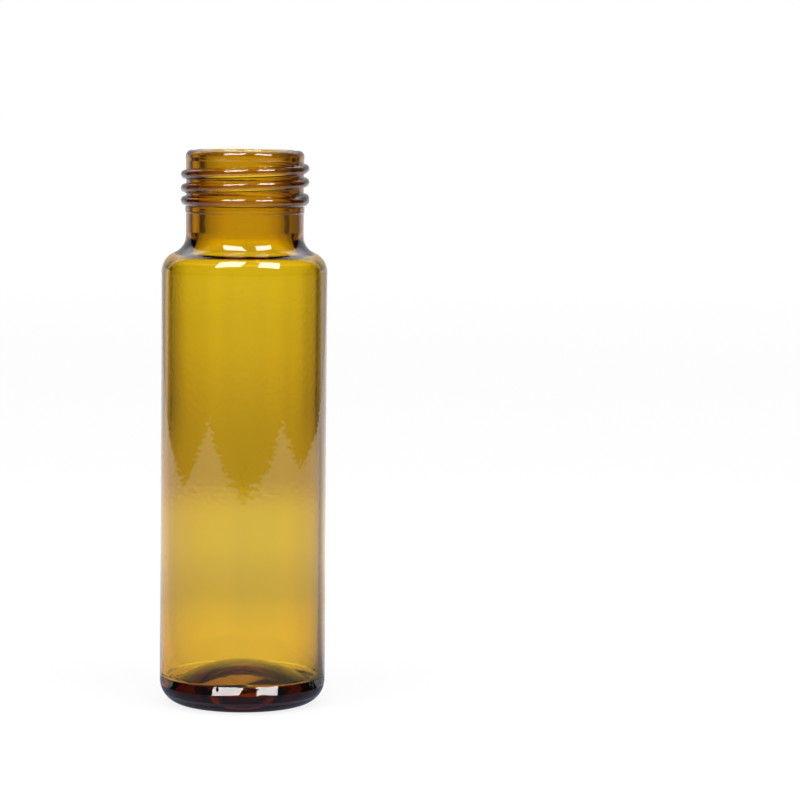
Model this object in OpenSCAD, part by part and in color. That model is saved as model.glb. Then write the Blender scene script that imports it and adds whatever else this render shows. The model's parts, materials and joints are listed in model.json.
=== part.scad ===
// Amber glass sample vial with a screw neck, the 20 ml headspace size, drawn from glass tube in one piece.
// The wall is one closed outline turned round the axis: outside from the foot to the lip, then the
// inside back down to the floor. The screw thread is a half-round bead carried along a falling helix.
// Millimetres, +Z up. The origin is on the axis, in the plane that the vial stands on.

/* [Body] */
// Overall height
vial_h = 75.5; // [60:0.5:90]
// Outside diameter of the body
body_d = 22.6; // [22:0.05:23.5]
// Thickness of the body wall
wall_t = 0.9; // [0.7:0.05:1.2]

/* [Neck] */
// Outside diameter of the neck between the thread's turns
neck_d = 16; // [15.6:0.05:16.4]
// Diameter of the bore through the neck
bore_d = 12.8; // [12:0.05:13.2]
// Straight part of the neck, from the lip down to the start of the shoulder
neck_h = 11.6; // [11:0.1:14]
// Diameter of the rounded lip
lip_d = 16.1; // [16:0.05:16.6]
// Radius of the lip's outer edge
lip_edge_r = 0.85; // [0.5:0.05:0.9]
// Radius of the lip's inner edge
lip_bore_r = 0.4; // [0.2:0.05:0.45]

/* [Shoulder] */
// Outside radius where the body turns in to the shoulder
shoulder_r = 2.95; // [2.7:0.05:3.3]
// Outside radius where the shoulder turns up to the neck
fillet_r = 2.4; // [2.2:0.05:2.9]
// Inside radius at the top of the body
cavity_r = 2.05; // [1.9:0.05:2.4]
// Inside radius where the cavity turns up to the bore
throat_r = 3.7; // [3.3:0.05:4]
// How far above the neck's foot the bore starts to open out
throat_rise = 0.6; // [0:0.05:0.8]

/* [Base] */
// Outside radius of the heel
heel_r = 3.3; // [3:0.05:3.5]
// Width of the flat ring that the vial stands on
rest_w = 0.5; // [0.4:0.05:1]
// Height of the side of the hollow under the base
hollow_h = 1.3; // [1:0.05:1.6]
// Rise of the hollow's roof towards the middle
hollow_dome = 2.4; // [1.8:0.05:2.8]
// Inside radius between the wall and the floor
floor_r = 1.2; // [1:0.05:1.6]
// Height of the floor at its lowest, round its edge
floor_h = 3.1; // [2.8:0.05:3.6]
// Rise of the floor towards the middle
floor_dome = 2.7; // [2.4:0.05:3]

/* [Thread] */
// Outside diameter over the thread
thread_d = 17.45; // [17:0.05:18]
// Distance between two turns
thread_pitch = 1.83; // [1.7:0.01:1.9]
// Half of the bead's width
bead_w = 0.68; // [0.55:0.01:0.7]
// Depth of the thread's centre below the lip where its first full turn starts
thread_top = 2.46; // [2.3:0.01:2.6]
// Turns of full height
thread_turns = 2; // [1.75:0.25:2]
// Turns over which the bead grows at its start and dies away at its end
thread_fade = 0.3; // [0.2:0.05:0.35]
// Depth below the lip of the level bead that closes the thread
ring_depth = 6.86; // [6.7:0.01:6.88]
// Depth below the lip at which the plain band under the thread starts
band_depth = 7.6; // [7.6:0.02:7.8]
// Height of the plain band
band_h = 0.84; // [0.6:0.02:1.2]
// Diameter of the plain band
band_d = 16.2; // [16.1:0.02:16.6]

/* [Hidden] */
$fn = 128;

arc_steps = 14;          // straight steps in each arc of the outline
bead_steps = 8;          // sides of the half-round thread bead
ring_steps = 54;         // stations of the thread in each turn
bead_arc = 112;          // half of the bead's arc: past 90 degrees it is bedded in the wall
bead_sink = 0.1;         // how deep the bead's crest lies in the wall at the thread's ends
band_edge = 0.12;        // bevel on the plain band's edges
hollow_lean = 1.8;       // how far the hollow's side leans in as it rises
last_turn_drop = 0.35;   // extra fall of the thread where it runs into the level bead
lip_h = 1.5;             // height over which the lip swells out of the neck

body_r = body_d / 2;
neck_r = neck_d / 2;
bore_r = bore_d / 2;
lip_r = lip_d / 2;
band_r = band_d / 2;
inner_r = body_r - wall_t;
hollow_r = body_r - heel_r - rest_w;
bead_h = thread_d / 2 - neck_r;

neck_z = vial_h - neck_h;
throat_z = neck_z + throat_rise;
lip_z = vial_h - lip_edge_r;
ring_z = vial_h - ring_depth;
band_z = vial_h - band_depth;

// Two arcs that touch, one each way, join radius a to the smaller radius b. Both turn by this angle.
function s_turn(a, b, lower_r, upper_r) = acos(1 - (a - b) / (lower_r + upper_r));

outer_turn = s_turn(body_r, neck_r, shoulder_r, fillet_r);
inner_turn = s_turn(inner_r, bore_r, cavity_r, throat_r);
shoulder_z = neck_z - (shoulder_r + fillet_r) * sin(outer_turn);
cavity_z = throat_z - (cavity_r + throat_r) * sin(inner_turn);

// Points of an arc about c, from angle a0 to angle a1
function arc(c, r, a0, a1, steps = arc_steps) =
    [for (i = [0:steps]) let (a = a0 + (a1 - a0) * i / steps) c + r * [cos(a), sin(a)]];

// Points of a shallow arc over the axis, from radius w at height z up to z + rise in the middle
function crown(w, z, rise, steps = arc_steps) =
    let (r = (w * w + rise * rise) / (2 * rise), half = asin(w / r))
    arc([0, z + rise - r], r, 90 - half, 90, steps);

// Points of a list in the other order
function back(points) = [for (i = [len(points) - 1:-1:0]) points[i]];

// Half-round bead on radius r, with its middle at height z
function bead(r, z, h, w, half = 90, steps = bead_steps) =
    [for (i = [0:steps]) let (a = half * (2 * i / steps - 1)) [r + h * cos(a), z + w * sin(a)]];

// 0 below the range, 1 above it, and smooth between
function ease(x, x0, x1) = let (t = max(0, min(1, (x - x0) / (x1 - x0)))) t * t * (3 - 2 * t);

// Underside: the hollow's roof and side, the flat ring and the heel
function foot_line() = concat(
    back(crown(hollow_r - hollow_lean, hollow_h, hollow_dome)),
    [[hollow_r, 0]],
    arc([body_r - heel_r, heel_r], heel_r, -90, 0)
);

// Side: the shoulder and the fillet that carries it into the neck
function shoulder_line() = concat(
    arc([body_r - shoulder_r, shoulder_z], shoulder_r, 0, outer_turn),
    arc([neck_r + fillet_r, neck_z], fillet_r, 180 + outer_turn, 180)
);

// Neck: the plain band, the level bead over it and the lip
function neck_line() = concat(
    [
        [neck_r, band_z - band_h - band_edge],
        [band_r, band_z - band_h],
        [band_r, band_z - band_edge],
        [neck_r, band_z]
    ],
    bead(neck_r, ring_z, bead_h, bead_w),
    [
        [neck_r, vial_h - lip_h],
        [neck_r + (lip_r - neck_r) * 0.6, vial_h - lip_h * 0.75]
    ],
    arc([lip_r - lip_edge_r, lip_z], lip_edge_r, 0, 90)
);

// Inside: the lip's inner edge, the bore, the throat, the wall and the floor
function inside_line() = concat(
    arc([bore_r + lip_bore_r, vial_h - lip_bore_r], lip_bore_r, 90, 180),
    arc([bore_r + throat_r, throat_z], throat_r, 180, 180 + inner_turn),
    arc([inner_r - cavity_r, cavity_z], cavity_r, inner_turn, 0),
    arc([inner_r - floor_r, floor_h + floor_r], floor_r, 0, -90),
    crown(inner_r - floor_r, floor_h, floor_dome)
);

// Wall of the vial with its level bead, open at the top
module wall() {
    rotate_extrude()
        polygon(concat(foot_line(), shoulder_line(), neck_line(), inside_line()));
}

// Height of the thread's centre after so many turns: it falls evenly, and a little faster at the end
function thread_z(turn) =
    vial_h - thread_top - thread_pitch * turn - last_turn_drop * ease(turn, 1.5, 2);

// How far the bead stands out after so many turns, from 0, sunk in the wall, to 1
function thread_rise(turn) =
    ease(turn, -thread_fade, 0) * (1 - ease(turn, thread_turns, thread_turns + thread_fade));

// One section of the thread. It starts at +X and runs down as a right-hand thread does.
function thread_section(turn) =
    let (
        r = neck_r - (bead_h + bead_sink) * (1 - thread_rise(turn)),
        a = -360 * turn
    )
    [for (p = bead(r, thread_z(turn), bead_h, bead_w, bead_arc)) [p[0] * cos(a), p[0] * sin(a), p[1]]];

// Right-hand screw thread, swept section by section
module thread() {
    first = -thread_fade;
    last = thread_turns + thread_fade;
    count = round((last - first) * ring_steps);
    sections = [for (i = [0:count]) thread_section(first + (last - first) * i / count)];
    n = len(sections[0]);
    points = [for (s = sections) each s];
    sides = [
        for (i = [0:count - 1], j = [0:n - 1])
            let (k = (j + 1) % n, a = i * n, b = (i + 1) * n)
            each [[a + j, b + k, a + k], [a + j, b + j, b + k]]
    ];
    caps = [[for (j = [0:n - 1]) j], [for (j = [n - 1:-1:0]) count * n + j]];
    polyhedron(points, concat(sides, caps), convexity = 6);
}

// The vial, one piece of amber glass
module vial() {
    color([0.55, 0.36, 0.05, 0.8])
        union() {
            wall();
            thread();
        }
}

vial();
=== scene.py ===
# %% [markdown]
# # An amber glass sample vial
# This lesson makes the looks of one finished part: a 20 ml laboratory vial with a screw neck, drawn from
# amber glass tube. The part was drawn in CAD and arrives as a frame, which stays as it is. We read the
# driving sizes from that frame, lay one smooth surface over it, give it real glass, and light it on a
# plain table. All lengths are metres and +Z is up the vial's axis.

# %% Load the frame
import json
import math

import bpy
import numpy as np
from mathutils import Matrix, Vector


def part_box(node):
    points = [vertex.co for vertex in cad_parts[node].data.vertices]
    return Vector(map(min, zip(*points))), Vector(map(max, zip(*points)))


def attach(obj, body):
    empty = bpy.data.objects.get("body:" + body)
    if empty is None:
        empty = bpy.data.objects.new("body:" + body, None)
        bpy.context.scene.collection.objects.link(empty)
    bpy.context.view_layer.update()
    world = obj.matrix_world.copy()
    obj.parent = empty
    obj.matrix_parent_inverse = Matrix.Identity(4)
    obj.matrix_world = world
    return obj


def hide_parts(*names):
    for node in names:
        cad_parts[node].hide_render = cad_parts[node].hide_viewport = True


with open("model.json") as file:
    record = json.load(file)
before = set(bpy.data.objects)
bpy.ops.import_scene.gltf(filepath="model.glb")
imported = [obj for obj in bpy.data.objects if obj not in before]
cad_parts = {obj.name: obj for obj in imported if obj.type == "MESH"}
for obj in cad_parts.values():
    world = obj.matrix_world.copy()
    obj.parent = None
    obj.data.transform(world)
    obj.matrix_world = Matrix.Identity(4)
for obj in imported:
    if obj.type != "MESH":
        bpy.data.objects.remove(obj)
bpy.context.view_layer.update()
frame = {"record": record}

MM = 0.001

# %% [markdown]
# ## Driving sizes
# A vial of this kind is known by its height, its width and its bore, because racks, caps and needles are
# made to them. The first two could be typed in again here, but then the surface and the CAD node could
# drift apart. So they are measured on the node, and the bore comes from the record's mount.

# %% Sizes from the frame
vial_low, vial_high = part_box("vial")
height = vial_high[2] - vial_low[2]
body_r = (vial_high[0] - vial_low[0]) / 2
mounts = {mount["name"]: mount for mount in frame["record"]["mounts"]}
bore_r = mounts["mouth_bore"]["dims"]["r_mm"] * MM
print("height %.2f mm, body radius %.3f mm, bore radius %.2f mm" % (height / MM, body_r / MM, bore_r / MM))

# %% [markdown]
# ## Sizes of the glass
# The rest is what a glassworker would gauge. The tube is drawn with a thin wall, the neck is squeezed
# thicker so that it can carry a thread, and the base is the thickest because the tube's end is melted
# shut there. They are grouped as the vial is made: tube, shoulder, base, lip and thread.

# %% Tube and shoulder
wall = 0.9 * MM                  # thickness of the body's wall
inner_r = body_r - wall
neck_r = 8.0 * MM                # outside radius of the neck between the thread's turns
neck_z = height - 11.6 * MM      # where the straight neck starts
shoulder_r = 2.95 * MM           # outside: where the body turns in
fillet_r = 2.4 * MM              # outside: where the shoulder turns up to the neck
cavity_r = 2.05 * MM             # inside: the top of the cavity
throat_r = 3.7 * MM              # inside: where the cavity turns up to the bore
throat_z = neck_z + 0.6 * MM     # where the bore starts to open out

# %% Base
heel_r = 3.3 * MM                # the rounded edge of the base
rest_w = 0.5 * MM                # the flat ring that the vial stands on
hollow_h = 1.3 * MM              # height of the hollow's side, under the base
hollow_lean = 1.8 * MM           # how far that side leans in
hollow_rise = 2.4 * MM           # rise of the hollow's roof over it
floor_r = 1.2 * MM               # inside: between the wall and the floor
floor_h = 3.1 * MM               # height of the floor round its edge
floor_rise = 2.7 * MM            # its rise towards the middle

# %% Lip, band and thread
lip_r = 8.05 * MM
lip_edge_r = 0.85 * MM           # roundness of the lip's outer edge
lip_bore_r = 0.4 * MM            # and of its inner edge
lip_start = 1.5 * MM             # depth at which the neck starts to swell out to the lip
lip_full = 0.9 * MM              # and at which it has done so
band_r = 8.1 * MM                # the plain band under the thread
band_depth = 7.6 * MM            # its top, below the lip
band_h = 0.84 * MM
band_bevel = 0.12 * MM           # height of the slope at each of its edges
thread_r = 8.725 * MM            # over the thread's crest
pitch = 1.83 * MM
bead_w = 0.68 * MM               # half of the bead's width
thread_top = 2.46 * MM           # depth of the thread's centre where its first full turn starts
thread_turns = 2
thread_fade = 0.3                # turns over which the bead grows and dies away
last_turn_drop = 0.35 * MM       # the last half turn falls this much faster
ring_depth = 6.86 * MM           # depth of the level bead that closes the thread
print("wall %.1f mm, neck wall %.1f mm, thread stands out %.3f mm"
      % (wall / MM, (neck_r - bore_r) / MM, (thread_r - neck_r) / MM))

# %% [markdown]
# ## Points of an outline
# Glass that is turned while it is soft has the same outline all round, made of straight stretches and
# arcs that run into each other. The outline could be drawn as one spline, but then no radius could be
# read back from it. So each stretch is a short list of points (r, z) from a formula that keeps its
# radius. Arcs get even steps. Straight stretches get closer steps at their ends, so that the smooth
# shading of the arcs doesn't run out along them.

# %% An arc and a straight stretch
def arc(centre_r, centre_z, radius, start, end, steps):
    """Points on a circle: the centre plus the radius times (cosine, sine) of an angle that runs evenly
    from start to end, in degrees."""
    angle = np.radians(np.linspace(start, end, steps + 1))
    return np.stack([centre_r + radius * np.cos(angle), centre_z + radius * np.sin(angle)], axis=1)


def straight(r0, z0, r1, z1, steps):
    """Points from (r0, z0) to (r1, z1) at the shares (1 - cosine of an even half turn) / 2, which lie
    closer together towards both ends."""
    share = (1 - np.cos(np.pi * np.linspace(0, 1, steps + 1))) / 2
    return np.stack([r0 + (r1 - r0) * share, z0 + (z1 - z0) * share], axis=1)


print("quarter arc of 1 mm, last point:", (arc(0, 0, MM, 0, 90, 4)[-1] / MM).round(3))

# %% A crown over the axis
def crown(width, z, rise, steps):
    """A shallow arc from radius width at height z to z + rise on the axis. Its radius is
    (width squared + rise squared) / (2 rise), and half its angle has the sine width / radius."""
    radius = (width * width + rise * rise) / (2 * rise)
    half = math.degrees(math.asin(width / radius))
    line = arc(0, z + rise - radius, radius, 90 - half, 90, steps)
    line[-1, 0] = 0
    return line


print("the hollow's roof rises to %.2f mm" % (crown(MM, hollow_h, hollow_rise, 4)[-1, 1] / MM))

# %% Two arcs that touch
def s_turn(wide, narrow, lower, upper):
    """The angle, in degrees, through which two touching arcs turn to join a wide radius to a narrow one:
    the one whose cosine is 1 - (wide - narrow) / (lower + upper)."""
    return math.degrees(math.acos(1 - (wide - narrow) / (lower + upper)))


outer_turn = s_turn(body_r, neck_r, shoulder_r, fillet_r)
inner_turn = s_turn(inner_r, bore_r, cavity_r, throat_r)
shoulder_z = neck_z - (shoulder_r + fillet_r) * math.sin(math.radians(outer_turn))
cavity_z = throat_z - (cavity_r + throat_r) * math.sin(math.radians(inner_turn))
print("shoulder starts at %.2f mm and turns %.1f degrees" % (shoulder_z / MM, outer_turn))

# %% [markdown]
# ## The outline of the vial
# The outline starts on the axis under the base and runs round the foot, up the outside, over the lip and
# down the inside to the middle of the floor. It is one line, so the turned surface is closed by itself,
# with no seam at the lip, where two separate shells would meet. The stretch that carries the thread
# has many even rows, because the thread is pushed out of it later.

# %% The foot and the side
ring_r = body_r - heel_r - rest_w
foot = [
    crown(ring_r - hollow_lean, hollow_h, hollow_rise, 24)[::-1],
    straight(ring_r - hollow_lean, hollow_h, ring_r, 0, 8),
    straight(ring_r, 0, body_r - heel_r, 0, 4),
    arc(body_r - heel_r, heel_r, heel_r, -90, 0, 26),
]
side = [
    straight(body_r, heel_r, body_r, shoulder_z, 22),
    arc(body_r - shoulder_r, shoulder_z, shoulder_r, 0, outer_turn, 20),
    arc(neck_r + fillet_r, neck_z, fillet_r, 180 + outer_turn, 180, 20),
]
print("standing ring: radius %.2f to %.2f mm" % (ring_r / MM, (body_r - heel_r) / MM))

# %% The neck and the lip
thread_rows = 230
under_band = 0.4 * MM            # the even rows start this far below the band
band_low = height - band_depth - band_h - under_band
thread_high = height - lip_full
threaded = np.stack([np.full(thread_rows, neck_r), np.linspace(band_low, thread_high, thread_rows)], axis=1)
neck = [
    straight(neck_r, neck_z, neck_r, band_low, 6),
    threaded,
    arc(lip_r - lip_edge_r, height - lip_edge_r, lip_edge_r, 0, 90, 10),
    straight(lip_r - lip_edge_r, height, bore_r + lip_bore_r, height, 4),
    arc(bore_r + lip_bore_r, height - lip_bore_r, lip_bore_r, 90, 180, 10),
]
row_step = (thread_high - band_low) / (thread_rows - 1)
print("rows on the thread: %d, %.3f mm apart" % (thread_rows, row_step / MM))

# %% The inside
inside = [
    straight(bore_r, height - lip_bore_r, bore_r, throat_z, 10),
    arc(bore_r + throat_r, throat_z, throat_r, 180, 180 + inner_turn, 20),
    arc(inner_r - cavity_r, cavity_z, cavity_r, inner_turn, 0, 20),
    straight(inner_r, cavity_z, inner_r, floor_h + floor_r, 22),
    arc(inner_r - floor_r, floor_h + floor_r, floor_r, 0, -90, 20),
    crown(inner_r - floor_r, floor_h, floor_rise, 14),
]
outline = np.concatenate(foot + side + neck + inside)
smallest_step = 0.0001 * MM
apart = np.hypot(*np.diff(outline, axis=0).T) > smallest_step
outline = outline[np.r_[True, apart]]
outline[[0, -1], 0] = 0
print("outline: %d points" % len(outline))

# %% [markdown]
# ## The thread
# A glass thread is pressed into the soft neck by a wheel, so it is a half-round bead with soft edges, not
# a cut V. It starts out of the plain neck, makes two turns as it falls, and runs into a level bead. A
# bead could be swept along a helix as a body of its own, as the CAD part does, but a union leaves sharp
# creases where it enters the wall. Here the thread is a height that is added to the neck's radius, a
# function of where a point is on the neck, and a soft maximum rounds its foot as fire polish does.

# %% Soft steps
def smooth(x, low, high):
    """0 below low, 1 above high, and between them 3 t squared - 2 t cubed of the share t passed."""
    t = np.clip((x - low) / (high - low), 0, 1)
    return t * t * (3 - 2 * t)


def soft_max(a, b, rounding):
    """The larger of two heights, with their crease rounded: half of a + b + the root of
    (a - b) squared + rounding squared."""
    return (a + b + np.sqrt((a - b) ** 2 + rounding * rounding)) / 2


print("soft_max(0, 0, 1) =", float(soft_max(0.0, 0.0, 1.0)))

# %% A half-round bead
def bead(u):
    """Height over half-width u: the root of 1 - u squared, from 1 on the crest. From the share 0.98 on it
    goes down in a straight line, so that it falls below the neck instead of stopping at it."""
    edge = 0.98
    foot_height = math.sqrt(1 - edge * edge)
    dome = np.sqrt(np.clip(1 - u * u, 0, 1))
    return np.where(np.abs(u) < edge, dome, foot_height - edge / foot_height * (np.abs(u) - edge))


print("bead at 0, 0.98 and 1.2:", bead(np.array([0, 0.98, 1.2])).round(3))

# %% Thread and level bead
def thread_height(z, angle):
    """How far the glass stands out of the neck at a height and an angle. The thread's centre is its top
    less the pitch times the turns passed, and less a little more at the end. It passes each angle once
    a turn, so the heights of four turns and of the level bead are joined by the soft maximum. Where the
    thread grows or fades, it is sunk into the neck."""
    tall = thread_r - neck_r
    crease, sink, laps = 0.05 * MM, 0.1 * MM, 4
    out = soft_max(0.0, tall * bead((z - (height - ring_depth)) / bead_w), crease)
    for lap in range(laps):
        turn = lap - angle / (2 * np.pi)
        centre = height - thread_top - pitch * turn - last_turn_drop * smooth(turn, 1.5, 2)
        rise = smooth(turn, -thread_fade, 0) * (1 - smooth(turn, thread_turns, thread_turns + thread_fade))
        out = soft_max(out, tall * bead((z - centre) / bead_w) - (tall + sink) * (1 - rise), crease)
    return out


crest = thread_height(np.array([height - ring_depth]), np.array([0.0]))
print("the level bead stands out %.3f mm" % (crest[0] / MM))

# %% The neck without its thread
def neck_profile(z):
    """Radius of the bare neck: its root, plus the band's extra between two soft steps, plus the lip's
    extra above one."""
    band_top, band_foot = height - band_depth, height - band_depth - band_h
    band = smooth(z, band_foot - band_bevel / 2, band_foot + band_bevel / 2)
    band = band * (1 - smooth(z, band_top - band_bevel, band_top))
    lip = smooth(z, height - lip_start, height - lip_full)
    return neck_r + (band_r - neck_r) * band + (lip_r - neck_r) * lip


print("radius on the band %.2f mm" % (neck_profile(height - band_depth - band_h / 2) / MM))

# %% [markdown]
# ## One closed surface
# The outline is now turned round the axis. Blender's Spin or a Screw modifier would do it for a plain
# outline, but this one has to differ from angle to angle where the thread is. So the surface is a grid:
# one row for each point of the outline, one column for each angle, worked out as whole arrays. The
# outline's two ends lie on the axis, and each is one vertex with a fan of triangles, so that the poles
# are closed. The faces are wound so that they all point out of the glass.

# %% The grid of points
columns = 192
column_angle = np.linspace(0, 2 * np.pi, columns, endpoint=False)
grid_r = np.repeat(outline[1:-1, :1], columns, axis=1)
grid_z = np.repeat(outline[1:-1, 1:], columns, axis=1)
rows = len(grid_r)
angles = np.repeat(column_angle[None, :], rows, axis=0)
row_number = np.arange(rows)[:, None]
top_row = int(np.argmax(outline[:, 1]))
on_outside = (row_number < top_row) & (grid_z > neck_z)
on_thread = on_outside & (grid_z >= band_low - smallest_step) & (grid_z <= height - lip_edge_r)
grid_r = np.where(on_thread, neck_profile(grid_z) + thread_height(grid_z, angles), grid_r)
print("grid: %d rows of %d points, %d rows on the thread" % (rows, columns, on_thread[:, 0].sum()))

# %% Points and faces
turned = np.stack([grid_r * np.cos(angles), grid_r * np.sin(angles), grid_z], axis=2).reshape(-1, 3)
points = np.concatenate([[[0, 0, outline[0, 1]]], turned, [[0, 0, outline[-1, 1]]]])
here = 1 + row_number * columns + np.arange(columns)[None, :]
beside = np.roll(here, -1, axis=1)
quads = np.stack([here[:-1], beside[:-1], beside[1:], here[1:]], axis=2).reshape(-1, 4)
under_fan = np.stack([np.zeros(columns, int), beside[0], here[0]], axis=1)
floor_fan = np.stack([np.full(columns, len(points) - 1), here[-1], beside[-1]], axis=1)
print("%d quads and two fans of %d triangles" % (len(quads), columns))

# %% The glass piece
glass_mesh = bpy.data.meshes.new("vial_glass")
glass_mesh.from_pydata(points.tolist(), [], quads.tolist() + under_fan.tolist() + floor_fan.tolist())
glass_mesh.shade_smooth()
glass_mesh.update()
glass = bpy.data.objects.new("vial_glass", glass_mesh)
bpy.context.scene.collection.objects.link(glass)
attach(glass, "root")
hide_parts("vial")
print("glass: %d triangles" % (2 * len(quads) + 2 * columns))

# %% [markdown]
# ## Shader maths as Python
# A finish that changes from place to place is arithmetic on coordinates, and in the node editor that is
# a wall of Math nodes. Here one small class wraps a node's output, so that an expression such as
# 1 - height / 2 adds those nodes itself. A Math node would turn a colour grey, so colours are
# joined by a Mix node instead. Every other node comes from the one method called node.

# %% A signal
class Signal:
    """What one output of a node carries. Arithmetic on it adds Math nodes to the tree in hand."""

    tree = None

    def __init__(self, socket):
        self.socket = socket

    @classmethod
    def node(cls, kind, settings=None, inputs=None):
        """Add a node of this type, set it first, then give its inputs values or links, by name or by
        number. Gives its first output, from which out() reaches the others."""
        made = cls.tree.nodes.new(kind)
        for name, value in (settings or {}).items():
            setattr(made, name, value)
        for place, value in (inputs or {}).items():
            if isinstance(value, cls):
                cls.tree.links.new(value.socket, made.inputs[place])
            else:
                made.inputs[place].default_value = value
        return cls(made.outputs[0] if made.outputs else None)

    @classmethod
    def math(cls, operation, *terms):
        """Add a Math node of this operation on one, two or three terms."""
        return cls.node("ShaderNodeMath", {"operation": operation}, dict(enumerate(terms)))

    def out(self, name):
        """Another output of the same node."""
        return Signal(self.socket.node.outputs[name])

    def __add__(self, other):
        return Signal.math("ADD", self, other)

    def __radd__(self, other):
        return Signal.math("ADD", other, self)

    def __sub__(self, other):
        return Signal.math("SUBTRACT", self, other)

    def __rsub__(self, other):
        return Signal.math("SUBTRACT", other, self)

    def __mul__(self, other):
        return Signal.math("MULTIPLY", self, other)

    def __rmul__(self, other):
        return Signal.math("MULTIPLY", other, self)

    def __truediv__(self, other):
        return Signal.math("DIVIDE", self, other)

    def __rtruediv__(self, other):
        return Signal.math("DIVIDE", other, self)


def fresh_tree(owner):
    """Empty the node tree of a material or the world, and take it in hand."""
    owner.use_nodes = True
    owner.node_tree.nodes.clear()
    Signal.tree = owner.node_tree


operators = [name for name in vars(Signal) if name.endswith(("add__", "sub__", "mul__", "truediv__"))]
print("operators, each with its reflected form:", operators)

# %% Words for values
def larger(a, b):
    """The larger of two values."""
    return Signal.math("MAXIMUM", a, b)


def smaller(a, b):
    """The smaller of two values."""
    return Signal.math("MINIMUM", a, b)


def length_of(x, y):
    """The root of x squared + y squared."""
    return Signal.math("SQRT", x * x + y * y)


def blend(share, first, second):
    """The first value where the share is 0 and the second where it is 1: first + share times
    (second - first)."""
    return first + share * (second - first)


print("larger, smaller, length_of and blend are all Math nodes")

# %% Words for steps
def step_up(x, low, high):
    """0 below low, 1 above high, and 3 t squared - 2 t cubed of the share t between them."""
    return Signal.node("ShaderNodeMapRange", {"interpolation_type": "SMOOTHSTEP"}, {0: x, 1: low, 2: high})


def stepped(x, start, *steps):
    """A value that begins at start and changes by each step (low, high, change) between its low and its
    high: start plus the sum of change times the step up from low to high."""
    value = start
    for low, high, change in steps:
        value = value + change * step_up(x, low, high)
    return value


print("a step is a Map Range node")

# %% Words for colours and places
white = (1, 1, 1, 1)


def tinted(factor, plain, tint):
    """The colour plain where the factor is 0 and the colour tint where it is 1."""
    return Signal.node("ShaderNodeMix", {"data_type": "RGBA"}, {0: factor, 6: plain, 7: tint}).out(2)


def where(kind):
    """One kind of texture coordinate, and its X, Y and Z."""
    place = Signal.node("ShaderNodeTexCoord").out(kind)
    axes = Signal.node("ShaderNodeSeparateXYZ", None, {0: place})
    return place, axes.out("X"), axes.out("Y"), axes.out("Z")


print("a tint is a Mix node, a place is a Texture Coordinate node with its axes parted")

# %% [markdown]
# ## Amber glass
# Amber glass is clear glass with iron and sulphur in it, which take up blue strongly, green less and red
# least, all through its thickness. A tinted surface would give a thin wall and a thick base the same
# colour. So the surface is colourless glass that bends light by 1.5, and the colour is Volume Absorption
# inside it: each millimetre lets through e to the minus its rate of each colour. The thick base then
# turns dark by itself. The rates are constants, set on the node's own sockets.

# %% Colour of the glass
rate_per_mm = np.array([0.19, 0.415, 2.6])       # red, green, blue
fullest = 0.98                                   # keeps the node's colour just off black
density = rate_per_mm[2] / fullest / MM
clear_colour = 1 - rate_per_mm / rate_per_mm[2] * fullest
print("light left after 1 mm:", np.exp(-rate_per_mm).round(3))

# %% Where on the glass
amber = bpy.data.materials.new("amber_glass")
fresh_tree(amber)
place, glass_x, glass_y, glass_z = where("Object")
skin_start, skin_full = inner_r + 0.1 * MM, inner_r + 0.4 * MM
on_skin = step_up(length_of(glass_x, glass_y), skin_start, skin_full)
print("on_skin is 0 up to %.2f mm from the axis and 1 past %.2f mm" % (skin_start / MM, skin_full / MM))

# %% [markdown]
# ## The heel and the skin
# Two things on the outside are too small for the outline. Where the base was melted shut, the top of the
# heel leans back in a narrow belt, and it mirrors what is overhead as two bright patches. And drawn glass
# is never quite flat: it waves by a few thousandths of a millimetre, so that edges seen through it
# are a little ragged. Both are heights for one Bump node. They could be modelled, but the waves would
# need millions of faces. The inside stays smooth, so the heights are worked out on the skin only.

# %% The belt on the heel
belt_top, belt_low = 3.94 * MM, 2.69 * MM
belt_lean = 0.80                                  # rise of the bump for each millimetre down the belt
wobbles_per_metre, wobble_height = 800.0, 0.12 * MM
wobble = Signal.node("ShaderNodeTexNoise", None, {
    "Vector": place,
    "Scale": wobbles_per_metre,
    "Detail": 1.0,
})
drop = belt_top - (glass_z + (wobble - 0.5) * wobble_height)
belt = smaller(larger(drop, 0.0), belt_top - belt_low) * belt_lean * on_skin
print("belt on the heel: %.2f mm wide" % ((belt_top - belt_low) / MM))

# %% The waves of drawn glass
waves_per_metre, wave_height = 1700.0, 0.0040 * MM
waves = Signal.node("ShaderNodeTexNoise", None, {
    "Vector": place,
    "Scale": waves_per_metre,
    "Detail": 0.0,
})
relief = belt + waves * wave_height
bump = Signal.node("ShaderNodeBump", None, {"Height": relief * (1 / MM), "Distance": MM})
print("waves %.2f mm long and %.4f mm high" % (1 / waves_per_metre / MM, wave_height / MM))

# %% Join the glass
refraction = 1.5
surface = Signal.node("ShaderNodeBsdfPrincipled", None, {
    "Base Color": white,
    "Roughness": 0.0,
    "IOR": refraction,
    "Transmission Weight": 1.0,
    "Normal": bump,
})
depth = Signal.node("ShaderNodeVolumeAbsorption", None, {"Color": (*clear_colour, 1), "Density": density})
Signal.node("ShaderNodeOutputMaterial", None, {"Surface": surface, "Volume": depth})
glass_mesh.materials.append(amber)
print("amber glass: %d nodes" % len(amber.node_tree.nodes))

# %% [markdown]
# ## What glass needs round it
# Clear glass has no looks of its own: all that is seen in it is the room, bent or mirrored. A pure white
# room would make it a flat stain, so a studio stands dark surfaces beside it, which draw the dark lines
# along its sides. Here those surfaces aren't built, because they would throw shadows and stand
# in the other views. Instead, the table and the room answer each kind of ray in their own way:
# camera rays see plain white, mirror rays see only the paper round the vial and a wall behind it, and
# rays through the glass see white that fades to the sides. The looks are the directions in which the
# vial is viewed, in degrees round it.

# %% Directions
LOOKS = (0, 45, 90, 225)


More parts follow.
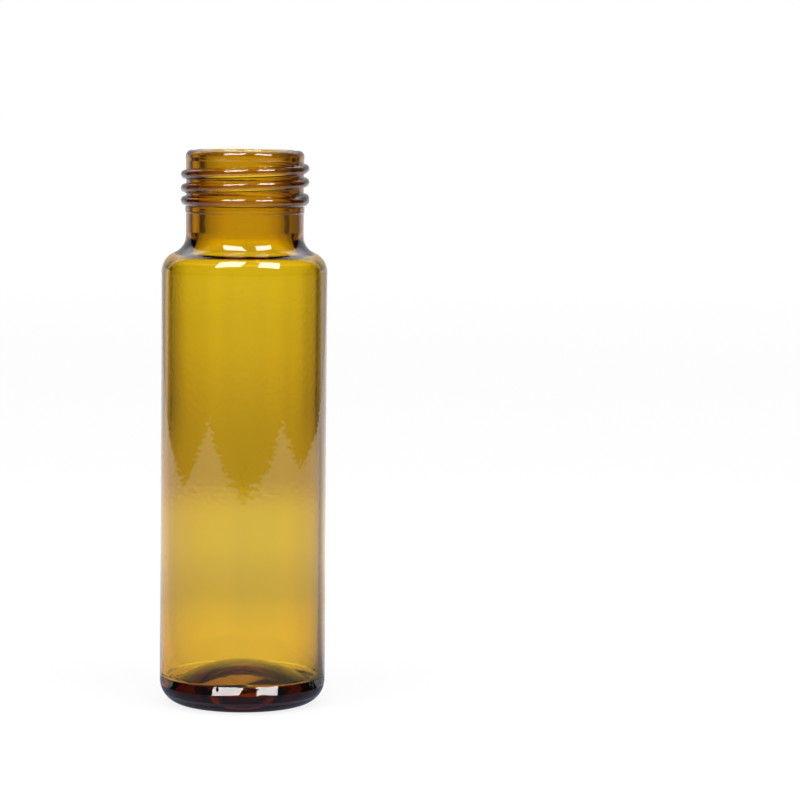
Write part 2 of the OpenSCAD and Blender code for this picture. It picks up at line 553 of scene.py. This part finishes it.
def toward_looks(x, y):
    """The cosine between a flat unit direction (x, y) and the nearest look: the largest of
    x times minus the look's sine plus y times its cosine."""
    best = None
    for look in LOOKS:
        turn = math.radians(look)
        along = x * -math.sin(turn) + y * math.cos(turn)
        best = along if best is None else larger(best, along)
    return best


def within(cosine, near, wide):
    """1 where a direction lies within near degrees, 0 past wide degrees, smooth between."""
    return step_up(cosine, math.cos(math.radians(wide)), math.cos(math.radians(near)))


print("looks at", LOOKS, "degrees")

# %% Kinds of ray
def ray_kinds():
    """Whether a ray comes from the camera, is any mirror ray, went through glass, or is mirrored before it
    meets glass: a ray through glass counts as a mirror ray too, so the last is mirror times
    (1 - through)."""
    ray = Signal.node("ShaderNodeLightPath")
    seen, mirror, through = ray.out("Is Camera Ray"), ray.out("Is Glossy Ray"), ray.out("Is Transmission Ray")
    return seen, mirror, through, mirror * (1 - through)


print("four kinds of ray")

# %% [markdown]
# ## The table
# The vial stands on a sheet of white paper on a wide white table. The floor is one large quad. Its
# coordinates say how far a point is from the vial and on which side, and the levels below are built
# from those two.

# %% A flat sheet
def sheet(name, corners):
    """An object with one flat face through these corners."""
    flat = bpy.data.meshes.new(name)
    flat.from_pydata(corners, [], [list(range(len(corners)))])
    made = bpy.data.objects.new(name, flat)
    bpy.context.scene.collection.objects.link(made)
    return made


reach = 6.0
floor = sheet("floor", [(-reach, -reach, 0), (reach, -reach, 0), (reach, reach, 0), (-reach, reach, 0)])
print("floor: %.0f m square" % (2 * reach))

# %% Where on the table
table = bpy.data.materials.new("table")
fresh_tree(table)
table_x, table_y = where("Object")[1:3]
far = length_of(table_x, table_y)
facing = toward_looks(table_x / far, table_y / far)
seen, mirror, through, first_mirror = ray_kinds()
print("far is the distance from the vial's axis, facing the cosine to the nearest look")

# %% [markdown]
# ## What the glass mirrors of the table
# The body's lower half mirrors the paper in front of it, up to the paper's edges, where the mirror
# shows three pointed tongues. So the paper has a front edge and two side edges, each with a pointed
# bite out of it. Beyond them the table is dark to the mirror, except behind the vial, where the
# grazing rims have to be white.

# %% Edges of the paper
def bite(x, middle, half, deep):
    """A pointed bite out of an edge: deep at its middle, less by an even slope, 0 past half its width."""
    return larger(1 - Signal.math("ABSOLUTE", x - middle) / half, 0.0) * deep


front_reach, left_reach, right_reach = 0.262, 0.300, 0.326
front_slant = 0.055                               # the front edge runs this much closer per metre right
front_edge = front_reach - front_slant * table_x - bite(table_x, 0.0, 0.05, 0.018)
left_edge = left_reach - bite(table_y, -0.005, 0.13, 0.032)
right_edge = right_reach - bite(table_y, -0.045, 0.13, 0.028)
edge = 0.006                                      # half of the width over which an edge fades
on_paper = step_up(table_y + front_edge, -edge, edge) * step_up(table_x + left_edge, -edge, edge)
on_paper = on_paper * step_up(right_edge - table_x, -edge, edge)
print("paper: %.3f m to the front, %.3f m to the left, %.3f m to the right"
      % (front_reach, left_reach, right_reach))

# %% Light of the mirrored table
foot_level = 0.4
front_level = stepped(far, foot_level, (0.02, 0.06, 0.45), (0.06, 0.16, 0.5))
rim_full, rim_end = 44, 55                        # degrees from straight behind, for the grazing rims
mirrored = larger(on_paper * front_level, within(table_y / far, rim_full, rim_end))
print("mirrored paper: %.2f at the foot, 1.35 from 0.16 m on" % foot_level)

# %% [markdown]
# ## What shows through the glass
# Seen through the body, the table runs from the vial's foot at the bottom to far away at the shoulder.
# It is brightest close to the vial and far behind it, and a little duller between. It is darker to the
# sides, most of all far away, where a thin dark gap draws the line along the inside of the body's
# rim. Right under the vial a painted shade dims it to 0.95. Each level is a few soft steps over the distance.

# %% Light from near to far
near_level, far_level = 1.12, 1.10
level = stepped(
    far, near_level,
    (0.055, 0.085, -0.12), (0.08, 0.10, -0.13), (0.11, 0.17, 0.13),
    (0.20, 0.27, -0.30), (0.25, 0.68, 0.30), (0.70, 0.95, far_level - 1.0),
)
outside_foot = step_up(far, 0.009, 0.013)
# painted shade: seen through the glass, the table right under the vial glows at 0.95 of its level
shade_under_vial = 0.95
level = level * blend(outside_foot, shade_under_vial, 1.0)
print("level: %.2f near the vial, 0.70 at the least, %.2f far away" % (near_level, far_level))

# %% Light of the far table from the middle to the sides
def dark_gap(facing, near, wide, edge):
    """1 between near and wide degrees off a look and 0 outside them, with edges this many degrees wide:
    what lies within the wide angle, times 1 less what lies within the near one."""
    return within(facing, wide - edge, wide) * (1 - within(facing, near, near + edge))


def far_side(facing):
    """0.45 at the sides, 0.35 more towards a look and 0.20 more close to it, and in the dark gap 0.92 of
    all that is taken off."""
    sides = 0.45 + 0.35 * within(facing, 6, 16) + 0.20 * within(facing, 1, 9)
    return sides * (1 - 0.92 * dark_gap(facing, 15.0, 28.0, 2.5))


print("the table's dark gap lies 16 to 27 degrees to each side")

# %% Join near and far
near_end, far_start = 0.27, 0.45                  # between these the near table gives way to the far
side_near = (0.6 + 0.4 * within(facing, 4, 34)) * (0.15 + 0.85 * within(facing, 30, 42))
shown = level * blend(step_up(far, near_end, far_start), side_near, far_side(facing))
print("the near table is white to 4 degrees off a look and dark past 42")

# %% [markdown]
# ## Join the table
# A paper that only glowed would hold no shadow, and one that was only lit would be grey. So it is a mix:
# a fifth is plain paper, which takes the lamps and the vial's shadow, and the rest glows with
# the levels above. Glossy rays see the lit fifth as well, so that much is taken off again.
# Two tints are added: warm light through the glass near the vial and at mid distance, and the cool
# daylight in what the foot mirrors.

# %% Glow of the table
glow_share = 0.78
lit_level = 0.2                                   # what the lit fifth adds to a glossy ray
paper_grey = 0.85                                 # the plain paper's own colour
camera_level = 1.09                               # the glow that the camera sees
backdrop = stepped(far, camera_level, (0.3, 1.5, 0.10))
glow = seen * backdrop + (first_mirror * mirrored + through * shown - lit_level * mirror) / glow_share
print("fully lit, the table is %.2f white to the camera"
      % (paper_grey * (1 - glow_share) + camera_level * glow_share))

# %% Tints of the table
warm_light, cool_daylight = (1, 0.84, 0.6, 1), (0.5, 0.68, 1.0, 1)
warm_near = outside_foot * (1 - step_up(far, 0.02, 0.17))
warm_middle = step_up(far, 0.18, 0.27) * (1 - step_up(far, 0.25, 0.9))
glow_colour = tinted(through * (warm_near + warm_middle), white, warm_light)
glow_colour = tinted(first_mirror * (1 - step_up(far, 0.03, 0.09)), glow_colour, cool_daylight)
print("warm light", warm_light[:3], "and cool daylight", cool_daylight[:3])

# %% Lit paper and glow
paper = Signal.node("ShaderNodeBsdfDiffuse", None, {"Color": (paper_grey, paper_grey, paper_grey, 1)})
shine = Signal.node("ShaderNodeEmission", None, {"Color": glow_colour, "Strength": larger(glow, 0.0)})
joined = Signal.node("ShaderNodeMixShader", None, {0: glow_share, 1: paper, 2: shine})
Signal.node("ShaderNodeOutputMaterial", None, {"Surface": joined})
floor.data.materials.append(table)
print("table: %d nodes" % len(table.node_tree.nodes))

# %% [markdown]
# ## The room
# Above the table's far edge is the room. It answers the same kinds of rays as the table: white to the
# camera, an even soft light to plain paper, a wall behind the vial to the mirror, brightest half way up,
# and a wall to rays through the glass. That wall fades and turns cool with height, fades to the sides,
# and has its own dark gap, further out, which draws the two dark lines inside the neck. Down at the
# horizon it takes over the light of the far table, so that the two meet with hardly a line.

# %% Directions of the room
room = bpy.data.worlds.new("room")
bpy.context.scene.world = room
fresh_tree(room)
out_x, out_y, rise = where("Generated")[1:]
flat = length_of(out_x, out_y)
seen, mirror, through, first_mirror = ray_kinds()
print("the room has no distance, only directions")

# %% The wall behind
narrower = 3                                      # the side view has the same wall, but narrower
side_wall = 1 - narrower * (1 + out_x / flat)
facing = larger(out_y / flat, side_wall)
sides = 0.4 + 0.25 * within(facing, 14, 22) + 0.35 * within(facing, 3, 12)
sides = sides * (1 - 0.8 * dark_gap(facing, 28.0, 40.0, 3.0)) * within(facing, 39, 46)
wall_height = (1 - step_up(rise, 0.40, 0.62)) * stepped(rise, 1.0, (0.02, 0.15, 0.35))
wall_shown = 0.02 + 0.98 * sides * wall_height
print("the wall's dark gap lies 30 to 38 degrees to each side")

# %% Where the room meets the table
fill_level = 0.5                                  # the soft light that the room throws on plain paper
far_lit = paper_grey * fill_level * (1 - glow_share)
far_glow = far_level * far_side(toward_looks(out_x / flat, out_y / flat)) - lit_level
horizon = far_lit + larger(far_glow, 0.0)
shown = blend(step_up(rise, 0.0, 0.05), horizon, wall_shown)
print("at the horizon the room's fill adds %.3f" % far_lit)

# %% The mirrored room
wall_glow = stepped(rise, 1.0, (0.03, 0.12, -0.4), (0.33, 0.60, 1.4))
wall_glow = wall_glow * (1 - step_up(rise, 0.75, 0.95))
mirrored_wall = 0.97 * within(out_y / flat, 46, 55) * wall_glow
ceiling = 0.06 * step_up(rise, 0.5, 0.8)
mirrored = 0.03 + mirrored_wall + ceiling
high_tint = (0.55, 0.88, 1.0, 1)
room_colour = tinted(through * step_up(rise, 0.36, 0.66), white, high_tint)
print("mirrored wall: white at the horizon, 0.6 just over it and 2 half way up")

# %% Join the room
fill = Signal.node("ShaderNodeLightPath").out("Is Diffuse Ray")
room_glow = seen + first_mirror * mirrored + through * shown + fill_level * fill
sky = Signal.node("ShaderNodeBackground", None, {"Color": room_colour, "Strength": room_glow})
Signal.node("ShaderNodeOutputWorld", None, {"Surface": sky})
print("room: %d nodes" % len(room.node_tree.nodes))

# %% [markdown]
# ## Two light panels
# The bright patches on the lip, the thread, the shoulder and the heel are two long panels over the
# table, each mirrored once by every rounded edge. An area lamp could be mirrored as well, but it would
# also light the paper. So each panel is a quad that glows for glossy rays only, and only faintly for
# those that went through glass. Its corners are slopes, run over rise, as seen from the shoulder, so that a
# corner of a patch can be set on its own.

# %% A panel
def panel(name, front, back, strength):
    """A quad at 0.6 m over the shoulder. Each end is (left, right, ahead), and a corner lies at its
    slopes times that height. Rays that went through glass see 0.08 of its glow."""
    shoulder, over, seen_through = 0.06, 0.6, 0.08
    level_z = shoulder + over
    made = sheet(name, [
        (front[0] * over, front[2] * over, level_z),
        (back[0] * over, back[2] * over, level_z),
        (back[1] * over, back[2] * over, level_z),
        (front[1] * over, front[2] * over, level_z),
    ])
    material = bpy.data.materials.new(name)
    fresh_tree(material)
    mirror, through = ray_kinds()[1:3]
    glow = mirror * strength * blend(through, 1.0, seen_through)
    shine = Signal.node("ShaderNodeEmission", None, {"Strength": glow})
    Signal.node("ShaderNodeOutputMaterial", None, {"Surface": shine})
    made.data.materials.append(material)
    made.visible_camera = False
    made.visible_diffuse = False
    made.visible_shadow = False
    return made


panel_strength = 16
panels = [
    panel("panel_left", (-0.98, -0.11, -0.88), (-0.40, 0.045, -0.16), panel_strength),
    panel("panel_right", (0.36, 1.25, -0.88), (0.25, 0.66, -0.16), panel_strength),
]
print("panels:", [made.name for made in panels])

# %% [markdown]
# ## Two soft lamps
# The paper needs a soft shadow round the foot, or the vial would float. Two wide area lamps, one to each
# side of the camera, give a pale one that falls away behind. Glass doesn't show them, because the panels
# already do that work and a second pair of patches would be in the way.

# %% The lamps
lamp_size, lamp_power, lamp_rise, lamp_far = 0.5, 2.2, 60, 0.9
for name, azimuth in (("lamp_left", -35), ("lamp_right", 35)):
    light = bpy.data.lights.new(name, "AREA")
    light.size = lamp_size
    light.energy = lamp_power
    lamp = bpy.data.objects.new(name, light)
    bpy.context.scene.collection.objects.link(lamp)
    turn, lift = math.radians(azimuth), math.radians(lamp_rise)
    way = Vector((math.sin(turn) * math.cos(lift), -math.cos(turn) * math.cos(lift), math.sin(lift)))
    lamp.location = way * lamp_far
    lamp.rotation_euler = (-way).to_track_quat("-Z", "Y").to_euler()
    lamp.visible_glossy = False
    lamp.visible_transmission = False
    print("%s: %.1f W, %.1f m away" % (name, lamp_power, lamp_far))

# %% [markdown]
# ## The camera
# The camera stands a little under half a metre in front of the vial, just above its mouth, and looks
# down a few degrees. So near, it looks almost level at the mouth and clearly down on the base, and that
# is where the base's curved lines come from. Its turn is built from three angles: down, to the side, and
# a slight roll. The lens then sets how large the vial looks.

# %% The camera
stand_off, eye_height = 0.4665, 0.0855
pitch_down, pan, roll = (math.radians(angle) for angle in (5.362, 2.611, 0.570))
camera_data = bpy.data.cameras.new("camera")
camera_data.sensor_width = 36
camera_data.lens = 154.76
camera_data.clip_start = 0.01
camera_data.clip_end = 20
camera = bpy.data.objects.new("camera", camera_data)
bpy.context.scene.collection.objects.link(camera)
level_ahead = Vector((math.sin(pan), math.cos(pan), 0))
ahead = level_ahead * math.cos(pitch_down) - Vector((0, 0, math.sin(pitch_down)))
level_right = Vector((math.cos(pan), -math.sin(pan), 0))
level_up = level_right.cross(ahead)
right = level_right * math.cos(roll) + level_up * math.sin(roll)
up = level_up * math.cos(roll) - level_right * math.sin(roll)
turned_axes = Matrix((right, up, -ahead)).transposed()
camera.matrix_world = Matrix.Translation((0, -stand_off, eye_height)) @ turned_axes.to_4x4()
print("camera: %.1f mm above the mouth" % ((eye_height - height) / MM))

# %% [markdown]
# ## Render settings
# A ray that goes straight through the neck crosses four faces of glass, and one that enters the thread
# or the base is mirrored inside many times more. With too few bounces it would stop in the glass and
# leave black specks, so the limits are raised.

# %% Bounces and view
scene = bpy.context.scene
scene.camera = camera
scene.view_settings.view_transform = "Standard"
scene.cycles.max_bounces = 24
scene.cycles.transmission_bounces = 24
scene.cycles.glossy_bounces = 12
scene.cycles.transparent_max_bounces = 16
print("bounces:", scene.cycles.max_bounces)

# %% [markdown]
# ## Finish
